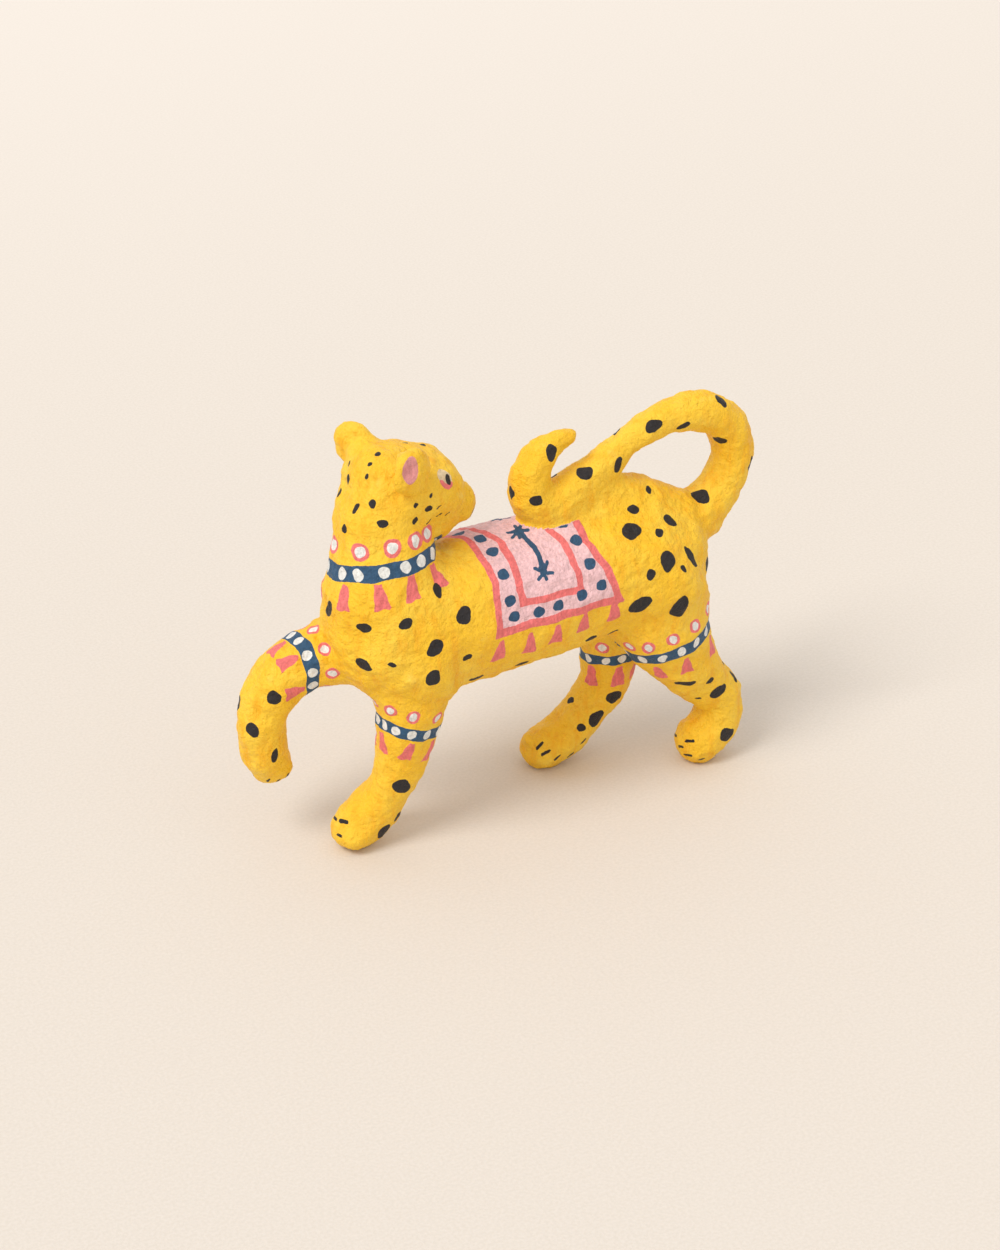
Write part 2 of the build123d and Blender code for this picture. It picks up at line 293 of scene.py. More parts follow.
skinSet = dict(rough=0.0012, smooth=8, fill=2.3, voxel=0.00078, ease=3, gap=0.0014)


# The rows of every limb's middle line together, with the number of the limb that each is on.
def limbRows(step=2.0):
    rows = [smoothLine(spec[0], step) for spec in limbs.values()]
    return np.vstack(rows), np.repeat(np.arange(len(rows)), [len(r) for r in rows])


# How far each point (drawing mm) is outside each limb.
# Depth = the distance to the middle line less the mean of half width and half depth there.
def limbDepths(points):
    rows, owner = limbRows()
    radii = rows[:, 3:].mean(1)
    out = np.full((len(points), len(limbs)), 1e3)
    for start in range(0, len(points), 20000):
        some = points[start:start + 20000]
        square = (some ** 2).sum(1)[:, None] + (rows[:, :3] ** 2).sum(1) - 2 * some @ rows[:, :3].T
        depth = np.sqrt(np.maximum(square, 0)) - radii
        for limb in range(len(limbs)):
            out[start:start + 20000, limb] = depth[:, owner == limb].min(1)
    return out


# Paper pulled over each joint: the skin moves out by fill * log(sum of exp((nearest - depth) / fill)),
# which is nothing where only one limb is near.
def fillJoints(skin):
    points, normals = corners(skin.data), vertexNormals(skin.data)
    depth = limbDepths((points - drawnZero) / mm)
    nearest = depth.min(1, keepdims=True)
    out = skinSet["fill"] * np.log(np.exp(np.clip((nearest - depth) / skinSet["fill"], -30, 0)).sum(1))
    setCorners(skin.data, points + normals * (out * mm)[:, None])


# Each thumb mark moves the skin by depth * exp(-(distance / width) squared).
def press(skin, marks):
    points = (corners(skin.data) - drawnZero) / mm
    for place, way, wide, deep in marks:
        fall = np.exp(-((points - place) ** 2).sum(1) / wide ** 2)
        points += np.array(way) * deep * fall[:, None]
    setCorners(skin.data, points * mm + drawnZero)


# Points (metres) and faces of closed shapes, numbered on from start.
def addLumps(shapes, start):
    points, faces, count = [], [], start
    for p, parts in shapes:
        points.append(inFrame(p))
        faces += [f + count for f in parts]
        count += len(p)
    return np.vstack(points), faces


# Even quads again, eased by a few rounds of smoothing.
def evenOut(skin, voxel, rounds):
    remesh = skin.modifiers.new("one skin", "REMESH")
    remesh.mode = "VOXEL"
    remesh.voxel_size = voxel
    smooth = skin.modifiers.new("ease", "SMOOTH")
    smooth.iterations = rounds
    smooth.factor = 0.5
    applyModifiers(skin)


# Moves the skin along its normals by a solid texture whose lumps are about size metres across.
def displace(skin, kind, size, height, **settings):
    texture = bpy.data.textures.new(kind.lower(), kind)
    texture.noise_scale = size
    for key, value in settings.items():
        setattr(texture, key, value)
    modifier = skin.modifiers.new(kind, "DISPLACE")
    modifier.texture = texture
    modifier.texture_coords = "LOCAL"
    modifier.strength = height
    modifier.mid_level = 0.5


# Copies of the paper cores, pushed out along their normals by a gap, to hold the skin clear of them.
def swollenCores(gap):
    swollen = []
    for name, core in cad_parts.items():
        if name.endswith(("_core", "_card")) and name != "head_core":
            copy = meshObject("swollen_" + name, np.empty((0, 3)), [])
            copy.data = core.data.copy()
            copy.data.materials.clear()
            copy.matrix_world = core.matrix_world
            weld = copy.modifiers.new("weld", "WELD")
            weld.merge_threshold = 0.00002
            push = copy.modifiers.new("swell", "DISPLACE")
            push.strength, push.mid_level = gap, 0.0
            applyModifiers(copy)
            swollen.append(copy)
    return swollen


# A tube along the head's middle line from station first to last, so many mm under the skin there.
def insideHead(name, first, last, under, domes):
    stations = [(x, y, z, wide - under, deep - under) for x, y, z, wide,
                deep in limbs["head"][0][first:last]]
    points, faces = tube(stations, *domes)
    return meshObject(name, inFrame(points), faces)


# The body in five steps: limbs and lumps in one, joints filled, thumb marks pressed, then the crisp
# details and swollen cores joined in one finer skin, and last the lumps of the paper. Nothing goes
# below the table, so z is never under 0.
def buildSkin():
    rough = [tube(*spec) for spec in limbs.values()] + [ball(*spec) for spec in lumps.values()]
    skin = meshObject("paper_skin", *addLumps(rough, 0))
    evenOut(skin, skinSet["rough"], skinSet["smooth"])
    fillJoints(skin)
    press(skin, presses)
    added = [meshObject("details", *addLumps([ball(*spec) for spec in details.values()], 0))]
    added += swollenCores(skinSet["gap"])
    with bpy.context.temp_override(active_object=skin, selected_editable_objects=[skin] + added):
        bpy.ops.object.join()
    evenOut(skin, skinSet["voxel"], skinSet["ease"])
    press(skin, earPresses)
    displace(skin, "CLOUDS", 0.012, 0.0019, noise_depth=1)
    displace(skin, "CLOUDS", 0.0045, 0.0013, noise_depth=2)
    displace(skin, "VORONOI", 0.007, 0.0004, distance_metric="DISTANCE", color_mode="POSITION")
    applyModifiers(skin)
    points = corners(skin.data)
    points[:, 2] = np.maximum(points[:, 2], 0.0)
    setCorners(skin.data, points)
    skin.data.shade_smooth()
    return skin


# Lays coats of paint on the skin. For each coat it keeps how far (mm) every point of the skin is
# outside the nearest stroke, below nothing inside it, and the material draws the edge from that.
class Brush:
    def __init__(self, skin, seed):
        self.skin = skin
        self.points = (corners(skin.data) - drawnZero) / mm
        self.normals = vertexNormals(skin.data)
        polygons = [tuple(p.vertices) for p in skin.data.polygons]
        self.tree = BVHTree.FromPolygons(self.points.tolist(), polygons)
        self.out = {name: np.full(len(self.points), 9.0) for name in coats}
        self.depth = limbDepths(self.points)
        self.luck = np.random.default_rng(seed)

    # Keeps the nearer of the old and the new stroke at the points of where.
    def lay(self, coat, where, distance):
        self.out[coat][where] = np.minimum(self.out[coat][where], distance)

    # The points near a place on the skin, in the flat of the skin there: u to the right, v along up.
    # The offset is stretched to the straight distance, so that a mark keeps its size on a round limb.
    def spotOn(self, place, reach, up):
        place = Vector(place)
        middle, facing = self.tree.find_nearest(place)[:2]
        close = np.linalg.norm(self.points - np.array(middle), axis=1)
        facing = self.normals[close < 2.2].mean(0) if (close < 2.2).any() else np.array(facing)
        facing = facing / np.linalg.norm(facing)
        where = np.nonzero((close < reach) & (self.normals @ facing > 0.1))[0]
        upright = np.array(up, float) - facing * np.dot(up, facing)
        upright /= np.linalg.norm(upright)
        offset = self.points[where] - np.array(middle)
        u, v = offset @ np.cross(upright, facing), offset @ upright
        stretch = np.linalg.norm(offset, axis=1) / np.maximum(np.hypot(u, v), 1e-6)
        return where, u * stretch, v * stretch

    # A dab: the edge of an ellipse, pushed in and out by three waves of the angle round it.
    def blob(self, coat, place, wide, tall, tilt=0.0, rough=0.1, up=(0, 0, 1), shift=(0.0, 0.0)):
        reach = max(wide, tall) + 2 + float(np.hypot(*shift))
        where, u, v = self.spotOn(place, reach, up)
        u, v = u - shift[0], v - shift[1]
        c, s = np.cos(radians(tilt)), np.sin(radians(tilt))
        x, y = u * c + v * s, v * c - u * s
        angle = np.arctan2(y / tall, x / wide)
        phases = self.luck.uniform(0, 2 * np.pi, 3)
        edge = 1 + rough * sum(np.sin((k + 2) * angle + phases[k]) / (k + 1.5) for k in range(3))
        size = np.hypot(x / wide, y / tall)
        slope = np.hypot(x / wide ** 2, y / tall ** 2) / np.maximum(size, 1e-6)
        self.lay(coat, where, (size - edge) / np.maximum(slope, 1e-6))

    def ring(self, place, size, core, up):
        self.blob("coral", place, size, size * 1.02, 0, 0.07, up)
        self.blob("white", place, core, core * 1.15, 0, 0.12, up)

    # A slim trapezium: half its width grows evenly from top to bottom.
    def tassel(self, place, top, bottom, tall, up):
        where, u, v = self.spotOn(place, tall, up)
        lean, sway = self.luck.uniform(-0.12, 0.12), self.luck.uniform(0, 6)
        along = np.clip(0.5 - v / tall, 0, 1)
        half = top + (bottom - top) * along + 0.15 * np.sin(v * 1.3 + sway)
        self.lay("coral", where, np.maximum(np.abs(u - lean * v) - half,
                                            np.abs(v) - tall / 2 + 0.25 * np.sin(u * 1.5 + sway)))

    # A stroke through points given from a place on the skin, right and up, in millimetres.
    def line(self, coat, place, way, half, up=(0, 0, 1)):
        points = np.array(way, float)
        where, u, v = self.spotOn(place, np.abs(points).max() + 3, up)
        self.lay(coat, where, strokeDistance(u, v, points) - half)

    # A stripe right round a limb: within half its width of a plane across the limb.
    def band(self, coat, here, width, limb):
        offset = self.points - here.middle
        level = offset @ here.axis
        angle = np.arctan2(offset @ here.second, offset @ here.first)
        wave = 0.22 * np.sin(3 * angle + 1) + 0.16 * np.sin(8 * angle)
        onLimb = self.depth[:, list(limbs).index(limb)] < 6
        where = np.nonzero((np.linalg.norm(offset, axis=1) < here.near) & onLimb)[0]
        self.lay(coat, where, (np.abs(level + wave) - width / 2)[where])

    def store(self):
        for name, distance in self.out.items():
            layer = self.skin.data.attributes.new(name, "FLOAT", "POINT")
            layer.data.foreach_set("value", np.clip(distance, -3, 3))


# The distance from each (u, v) to a line through points.
def strokeDistance(u, v, points):
    best = np.full(len(u), 1e3)
    for a, b in zip(points, points[1:]):
        run = b - a
        along = np.clip(((u - a[0]) * run[0] + (v - a[1]) * run[1]) / max(run @ run, 1e-9), 0, 1)
        best = np.minimum(best, np.hypot(u - a[0] - along * run[0], v - a[1] - along * run[1]))
    return best


# A plane across a limb. Angles go round its axis from the left flank, forward to back on an upright limb.
class Round:
    def __init__(self, middle, axis, near):
        self.middle, self.near = np.array(middle, float), near
        self.axis = np.array(axis, float) / np.linalg.norm(axis)
        left = np.array([0.0, -1.0, 0.0])
        self.first = left - self.axis * (left @ self.axis)
        self.first /= np.linalg.norm(self.first)
        self.second = np.cross(self.axis, self.first)

    # Where a ray from the middle line leaves the limb, or None where it runs on into the next limb.
    def on(self, brush, degrees, along):
        way = self.first * np.cos(radians(degrees)) + self.second * np.sin(radians(degrees))
        start = self.middle + self.axis * along
        place, _, _, far = brush.tree.ray_cast(Vector(start), Vector(way))
        return place if place and far < self.near else None


# Each painted band: the plane it lies in, its width, and the angles of its dots, rings and tassels.
bands = dict(
    collar=dict(
        limb="neck", middle=(-44, 2, 106), axis=(-0.07, 0.19, 1), near=22, width=5.4, dot=2.05,
        dots=(-107, -72, -50, -20, 5, 26, 47, 72, 96, 121, 147, 170, 194, 218, 236),
        rings=(-103, -46, -5, 24, 45, 78, 112, 147, 183, 219), ringUp=7.2, ring=3.1,
        tassels=(-67, -28, 7, 42, 66, 98, 132, 166, 201, 246), tasselDown=7.4, tassel=(1.3, 2.9, 8.8)),
    leftFore=dict(
        limb="leftForeleg", middle=(-42, -9.7, 47.4), axis=(0.3, 0, 1), near=15.5, width=4.6, dot=1.75,
        dots=(-100, -72, -43, -11, 23, 55, 88, 122, 155, 190, 224),
        rings=(-94, -58, -19, 26, 68, 112, 158, 205, 236),
        ringUp=7.0, ring=2.45, tassels=(-77, -5, 48, 105, 160, 222), tasselDown=7.2,
        tassel=(1.1, 2.5, 8.0)),
    rightFore=dict(
        limb="rightForeleg", middle=(-70.5, 11, 67), axis=(1, 0.04, 0.08), near=15.5, width=4.6, dot=1.8,
        dots=(-110, -78, -43, -10, 20, 52, 86, 120, 152, 186, 218),
        rings=(-122, -81, -41, -3, 40, 85, 128, 170, 207),
        ringUp=5.8, ring=2.4, tassels=(-100, -47, 22, 80, 135, 200), tasselDown=6.4,
        tassel=(1.0, 2.7, 7.4)),
    leftHind=dict(
        limb="leftHindleg", middle=(60.5, -10.5, 55), axis=(-0.3, 0, 1), near=19, width=5.0, dot=1.85,
        dots=(-95, -66, -39, -11, 16, 43, 72, 104, 136, 168, 202, 234),
        rings=(-74, -50, -18, 21, 58, 98, 138, 180, 224),
        ringUp=6.6, ring=2.45, tassels=(-55, -8, 50, 104, 160, 218), tasselDown=7.8,
        tassel=(0.9, 2.5, 7.8)),
    rightHind=dict(
        limb="rightHindleg", middle=(51, 10.5, 41), axis=(-0.05, 0, 1), near=15, width=4.4, dot=1.7,
        dots=(-110, -78, -45, -12, 22, 56, 90, 124, 158, 192, 226),
        rings=(-95, -48, -4, 44, 92, 140, 186, 228),
        ringUp=6.4, ring=2.5, tassels=(-75, -21, 38, 96, 152, 208), tasselDown=7.0,
        tassel=(1.2, 2.8, 8.0)),
)


# Each band, its dots, rings and tassels are at angles round a plane across the limb, and a ring or
# tassel is ringUp above or tasselDown below that plane.
def paintBands(brush):
    for spec in bands.values():
        here = Round(spec["middle"], spec["axis"], spec["near"])
        brush.band("navy", here, spec["width"], spec["limb"])
        up = tuple(here.axis)
        for degrees in spec["dots"]:
            if place := here.on(brush, degrees, 0):
                tilt = brush.luck.uniform(-12, 12)
                brush.blob("white", place, spec["dot"] * 0.92, spec["dot"] * 1.08, tilt, 0.08, up)
        for degrees in spec["rings"]:
            if place := here.on(brush, degrees, spec["ringUp"]):
                brush.ring(place, spec["ring"], spec["ring"] * 0.58, up)
        for degrees in spec["tassels"]:
            if place := here.on(brush, degrees, -spec["tasselDown"]):
                brush.tassel(place, *spec["tassel"], up)


# Black spots: x, y, z of the middle (drawing millimetres), then half the width, half the height
# and the tilt.
spots = dict(
    body=[(-32, -17, 99, 1.6, 2.2, 0), (-65, 0, 92, 1.8, 3.3, -25), (-58, -14, 90, 2.3, 1.7, -10),
          (-46, -21, 92, 2.1, 1.8, 10), (-25, -22, 90, 2.5, 2.7, 0), (-37, -24, 82, 2.9, 2.4, 15),
          (-59, -15, 77, 3.1, 1.7, -20), (-52, -22, 78, 1.4, 0.8, -10), (-25, -24, 75, 1.5, 1.2, 30),
          (-39, -27, 72, 2.5, 2.5, 20), (-19, -19, 63, 2.9, 1.4, 0), (-1, -18, 62, 2.2, 1.3, 0),
          (10, -14, 58, 2.4, 1.6, 20), (25, -19, 66, 2.0, 1.5, -15)],
    rump=[(42, -15, 101, 3.1, 2.9, -10), (46, -10, 106, 1.9, 1.5, -15), (54, -6, 110, 1.0, 1.4, -30),
          (58, -14, 101, 1.6, 2.6, 30), (52, -17, 99, 1.3, 1.6, 0), (52, -23, 91, 2.4, 3.6, 5),
          (63, -21, 89, 1.6, 3.6, 10), (45, -24, 88, 1.4, 1.9, 0), (58, -24, 87, 0.8, 1.4, 10),
          (41, -24, 77, 3.6, 3.0, 15), (56, -25, 73, 3.0, 4.0, -38), (35, -17, 64, 1.9, 1.2, 0),
          (72, -13, 80, 2.2, 2.8, 10), (76, 0, 72, 2.6, 3.0, 0)],
    tail=[(17, -4, 132, 1.9, 2.5, -20), (10, -7, 117, 2.2, 1.7, 0), (22, 3, 119, 1.4, 1.0, 0),
          (30, -4, 121, 2.4, 2.4, 20), (42, -6, 122, 1.6, 2.4, -10), (56, -5, 133, 2.6, 2.1, 20),
          (67, -6, 131, 2.4, 1.0, 25), (83, -4, 136, 1.9, 2.4, 20), (82, -5, 121, 2.2, 1.6, -10),
          (94, -6, 110, 1.1, 2.8, 0), (75, -5, 102, 2.8, 2.4, -10), (46, 3, 130, 2.0, 1.2, 0),
          (90, 6, 120, 2.0, 2.6, 0), (80, 5, 98, 2.5, 2.0, 10), (70, 6, 128, 2.4, 1.8, 0),
          (36, 6, 120, 2.2, 2.2, 0), (12, 7, 121, 1.9, 2.3, 0), (5, 0, 118, 1.6, 2.2, 0),
          (97, 0, 104, 1.6, 2.2, 0)],
    head=[(-44, 2, 144, 0.95, 0.95, 0), (-49, 0, 143, 0.9, 0.7, 35), (-53, -1, 139, 0.7, 1.1, -35),
          (-53, 8, 133.5, 0.8, 1.8, 0), (-54, -1, 127.5, 0.9, 1.7, -10), (-53, -7, 131, 1.3, 1.3, 0),
          (-56, 1, 120, 1.15, 1.4, 0), (-48, -9, 124, 1.6, 1.35, 10), (-31, 8, 142, 1.1, 0.8, 0),
          (-25, 7, 140, 1.2, 0.8, -10), (-31, -11, 131, 0.75, 0.8, 0), (-37, -11, 129, 0.75, 0.9, 0),
          (-32, -11, 126, 1.35, 1.2, 30), (-37, -11, 123, 0.95, 1.35, -25)],
    rightForeleg=[(-91, 14, 56, 1.3, 2.8, 0), (-84, 2, 62, 2.1, 2.5, 0), (-91, 5, 50, 2.3, 2.2, -20),
                  (-84, 3, 39, 1.1, 2.5, -5), (-78, 12, 52, 2.0, 2.4, 0), (-84, 20, 58, 2.3, 2.0, 0),
                  (-86, 20, 44, 2.0, 2.4, 15), (-76, 11, 44, 1.6, 2.0, 0)],
    leftForeleg=[(-46, -16, 26, 2.9, 2.6, 0), (-46, -12, 12, 1.7, 1.6, 30), (-51, -13, 7, 2.2, 2.9, -30),
                 (-37, -4, 32, 2.0, 2.4, 0), (-46, 0, 26, 2.2, 1.8, 0), (-50, 2, 12, 1.8, 2.2, 0)],
    leftHindleg=[(62, -20, 38, 3.4, 1.3, 0), (72, -21, 37, 1.4, 1.1, 20), (76, -20, 31, 3.3, 2.0, 28),
                 (69, -18, 29, 1.2, 0.5, 0), (84, -15, 32, 1.1, 2.2, 0), (81, -14, 39, 1.0, 1.6, 0),
                 (80, -19, 12, 2.6, 2.7, 10), (82, -4, 30, 2.2, 2.4, 0), (89, -10, 20, 1.8, 2.2, 0),
                 (74, -1, 42, 2.4, 2.0, 20), (76, -3, 14, 2.0, 1.8, 0)],
    rightHindleg=[(47, 3, 25, 2.6, 2.6, 20), (40, 3, 18, 2.5, 3.0, -10), (34, 3, 16, 1.4, 1.4, 0),
                  (34, 11, 23, 1.3, 1.3, 0), (48, 19, 26, 2.5, 2.2, 0), (38, 18, 16, 2.0, 2.4, 20),
                  (57, 11, 32, 2.0, 2.4, 0)],
)
# A few more for the flank, thigh and shoulder on the right, which is painted in the same way.
rightSide = [(-34, 24, 88, 2.4, 2.8, 10), (-22, 24, 76, 2.6, 2.2, -20), (-46, 21, 98, 1.8, 2.2, 0),
             (-48, 22, 84, 3.0, 2.0, 20), (-30, 23, 68, 2.2, 2.4, 0), (-8, 22, 66, 2.4, 1.6, 0),
             (14, 22, 66, 2.6, 1.9, 15),
             (44, 24, 92, 3.0, 3.2, 0), (56, 20, 98, 2.0, 2.4, 20), (66, 18, 90, 2.2, 3.2, -10),
             (40, 25, 78, 3.2, 2.6, 10),
             (54, 25, 82, 2.0, 2.6, 0), (62, 20, 72, 2.6, 3.4, 30), (48, 22, 66, 2.0, 2.2, 0),
             (40, 14, 103, 2.2, 2.0, 0)]
headPlane = 5.4


# Every spot is a dab. The left flank shows its own, and rightSide lists those of the other flank.
def paintSpots(brush):
    for name, marks in spots.items():
        for x, y, z, wide, tall, tilt in marks:
            brush.blob("black", (x, y, z), wide * 1.12, tall * 1.12, tilt, 0.13)
            if name == "head" and y < 0:
                brush.blob("black", (x, 2 * headPlane - y, z), wide, tall, -tilt, 0.16)
    for x, y, z, wide, tall, tilt in rightSide:
        brush.blob("black", (x, y, z), wide, tall, tilt, 0.16)


# The saddle blanket, drawn flat: x along the back, and the distance round the body from the ridge of the
# back, plus on the left. Its front and rear edges are given at a few of those distances.
blanket = dict(
    ridge=80.0, radius=24.5, drop=38.5,
    front=((-38, -10, 3, 20, 38), (-21, -19, -14, -12.8, -14.6)),
    rear=((-38, 0, 14, 38), (33, 25, 26.5, 35)),
    innerFront=((-30, -8, 6, 30), (-10, -9, -3.4, -2.8)), innerRear=((-30, 4, 13, 30), (20, 13, 17.4, 19)),
    innerDrop=29.5,
    dots=[(-13, -5), (-8.6, 2), (-7.6, 9), (-7.5, 18), (-7.4, 27.3), (-6.6, 33.2), (2.6, 33.8),
          (9.8, 33.2), (18.8, 31.6),
          (26.6, 30), (23.8, 22), (22, 13.2), (19.8, 6.4), (-15, -13), (-15.5, -22), (-15.6, -31),
          (-6, -34), (4, -34),
          (14, -34), (24, -33.5), (25.5, -24), (22.5, -14)],
    tassels=[(-12.6, 44.5), (-1, 45), (9, 44.2), (20, 43.2), (31.5, 41.6), (-18, -44.5), (-6, -45),
             (6, -45), (18, -44.6), (29, -43.6)],
)
# Each palm: the foot and the top of its trunk, then its strokes from the top and from the foot.
palms = [
    dict(foot=(6.6, 21), top=(4.8, 3.4),
         crown=[(-3.4, 2.6), (-3.6, -0.4), (-1.2, 3.6), (3.2, 1.2), (2.6, -1.8), (0.4, -2.6)],
         base=[(-2.8, -2.2), (2.6, -3.4), (-2.4, 1.6), (3.0, 0.8), (0.2, 2.4)]),
    dict(foot=(2, -24), top=(4, -8.5),
         crown=[(-3.4, -2.4), (-3.2, 1.4), (-0.4, 3.0), (3.4, 1.8), (3.4, -1.8), (0.6, -3.2)],
         base=[(-2.8, 2.0), (2.8, 2.6), (-2.4, -1.6), (2.8, -1.2)]),
]


# Everything on the blanket is worked out on its flat drawing.
# Round = radius * the angle from straight up, about the body's middle line.
def paintBlanket(brush):
    b = blanket
    x = brush.points[:, 0]
    round_ = b["radius"] * np.arctan2(-brush.points[:, 1], brush.points[:, 2] - b["ridge"])
    names = list(limbs)
    torso, tail = brush.depth[:, names.index("torso")], brush.depth[:, names.index("tail")]
    clear = (torso < 7) & (tail > torso) & (np.abs(round_) < 56) & (np.abs(x - 8) < 45)
    where = np.nonzero(clear)[0]
    x, r = x[where], round_[where]
    wave = 0.3 * np.sin(0.42 * r + 0.4) + 0.2 * np.sin(0.9 * r + 1.7) + 0.3 * np.sin(0.5 * x + 2.0)

    # How far outside the four-sided shape between the front and rear edges and both hems.
    def frameDistance(front, rear, drop):
        return np.maximum(np.maximum(np.interp(r, *front) - x, x - np.interp(r, *rear)), np.abs(r) - drop)

    edge = frameDistance(b["front"], b["rear"], b["drop"] - 0.02 * (x - 10)) + 0.7 * wave
    inner = frameDistance(b["innerFront"], b["innerRear"], b["innerDrop"]) + 0.6 * wave
    brush.lay("pink", where, edge)
    brush.lay("coral", where, np.abs(edge + 1.25) - 1.35)
    brush.lay("coral", where, np.abs(inner) - 1.25)

    def dab(coat, at, wide, tall):
        phase = brush.luck.uniform(0, 6)
        dx, dr = x - at[0], r - at[1]
        turn = np.arctan2(dr, dx)
        size = np.hypot(dx / wide, dr / tall)
        edge = 1 + 0.05 * np.sin(3 * turn + phase) + 0.04 * np.sin(4 * turn + 2 * phase)
        brush.lay(coat, where, (size - edge) * min(wide, tall))

    for at in b["dots"]:
        dab("navy", at, 2.15, 2.0)
    for at in b["tassels"]:
        side = np.sign(at[1])
        along = np.clip(0.5 + (r - at[1]) * side / 8.4, 0, 1)
        lean = brush.luck.uniform(-0.15, 0.15)
        half = 0.8 + 2.1 * along
        slab = np.maximum(np.abs(x - at[0] - lean * (r - at[1])) - half, np.abs(r - at[1]) - 4.2)
        brush.lay("coral", where, slab)
    for palm in palms:
        foot, top = np.array(palm["foot"]), np.array(palm["top"])
        bend = (foot + top) / 2 + np.array([1.0, 0.0])
        brush.lay("navy", where, strokeDistance(x, r, np.array([foot, bend, top])) - 1.0)
        for end, strokes in ((top, palm["crown"]), (foot, palm["base"])):
            for tip in strokes:
                tip = end + np.array(tip, float)
                brush.lay("navy", where, strokeDistance(x, r, np.array([end, tip])) - 0.6)


# Toes: the place of each paw's row of strokes, the way the strokes run and how they are spread.
toes = dict(
    leftFore=[((-63.5, -6.5, 12), (2.2, 0.4), 0.75), ((-64.5, -2, 11), (2.0, 0.5), 0.6),
              ((-65, -7.5, 7.4), (1.8, 0.1), 0.5),
              ((-61.6, -10, 3.4), (1.5, 0.2), 0.4), ((-57, -11, 2.6), (1.3, 0.3), 0.35),
              ((-64, 1.5, 7), (1.8, 0.3), 0.5)],
    leftHind=[((67.5, -15, 10.5), (2.6, 0.9), 0.55), ((66.6, -12, 7.2), (1.8, 0.8), 0.5),
              ((67, -15, 4.6), (2.4, 0.8), 0.5),
              ((71, -18, 3.6), (1.6, 0.3), 0.45), ((67.5, -8, 9), (2.0, 0.5), 0.5)],
    rightHind=[((19, 6, 11.2), (1.4, 2.2), 0.6), ((20.4, 4.2, 9), (2.4, 1.2), 0.55),
               ((24.4, 2.5, 6.6), (1.8, 1.3), 0.5),
               ((30, 3.4, 5.6), (1.5, 1.6), 0.5), ((35, 3.4, 10), (1.4, 1.6), 0.45),
               ((18, 13, 11), (2.0, 1.4), 0.55)],
    rightFore=[((-86, 5, 27), (0.7, 1.5), 0.45), ((-82, 3.5, 26), (0.5, 1.3), 0.4),
               ((-78.5, 4.5, 28), (0.5, 1.6), 0.45),
               ((-88, 12, 27), (0.6, 1.6), 0.5), ((-85, 18, 28), (0.6, 1.6), 0.5)],
)
# The face is painted alike on both sides. Places are on the left; the right is across headPlane.
face = dict(
    eye=(-23.5, -6.5, 133.5), whiskers=[(-28, -10, 125.5), (-27, -9, 121.5), (-23, -8, 119.8),
                                        (-31, -10, 120.6)],
    nose=(-7, 5.4, 121), mouth=(-9.5, 0, 115),
    ears=[(-40.7, -15.8, 144.3), (-39.5, 22.5, 138.5)],
)


# The left side as listed, and the right side at twice headPlane less its y.
def paintFace(brush):
    x, y, z = face["eye"]
    for side, y in ((1, y), (-1, 2 * headPlane - y)):
        eye = (x, y, z)
        brush.blob("cream", eye, 2.8, 3.7, 12 * side, 0.08)
        brush.line("coral", eye, [(-2.6 * side, -0.2), (-1.7 * side, -2.0), (0, -3.1),
                                  (1.7 * side, -2.8)], 0.85)
        brush.blob("black", eye, 1.2, 1.95, -12 * side, 0.06, shift=(0.9 * side, -0.8))
        for k, (a, b, c) in enumerate(face["whiskers"]):
            b = b if side == 1 else 2 * headPlane - b
            brush.line("black", (a, b, c), [(-0.8 * side, -0.6), (0.8 * side, 0.5)], 0.28 + 0.06 * k)
    brush.blob("coral", face["nose"], 3.0, 2.2, 0, 0.08)
    a, b, c = face["mouth"]
    for side, b in ((1, b), (-1, 2 * headPlane - b)):
        brush.line("black", (a, b, c), [(-1.6 * side, -1.5), (0.4 * side, 0.2), (2.2 * side, 1.2)], 0.5)
    for place in face["ears"]:
        brush.blob("rose", place, 2.9, 5.0, 0, 0.08)
    for strokes in toes.values():
        for place, (right, up), half in strokes:
            brush.line("black", place, [(-right / 2 * 1.2, -up / 2), (right / 2 * 1.2, up / 2)], half)


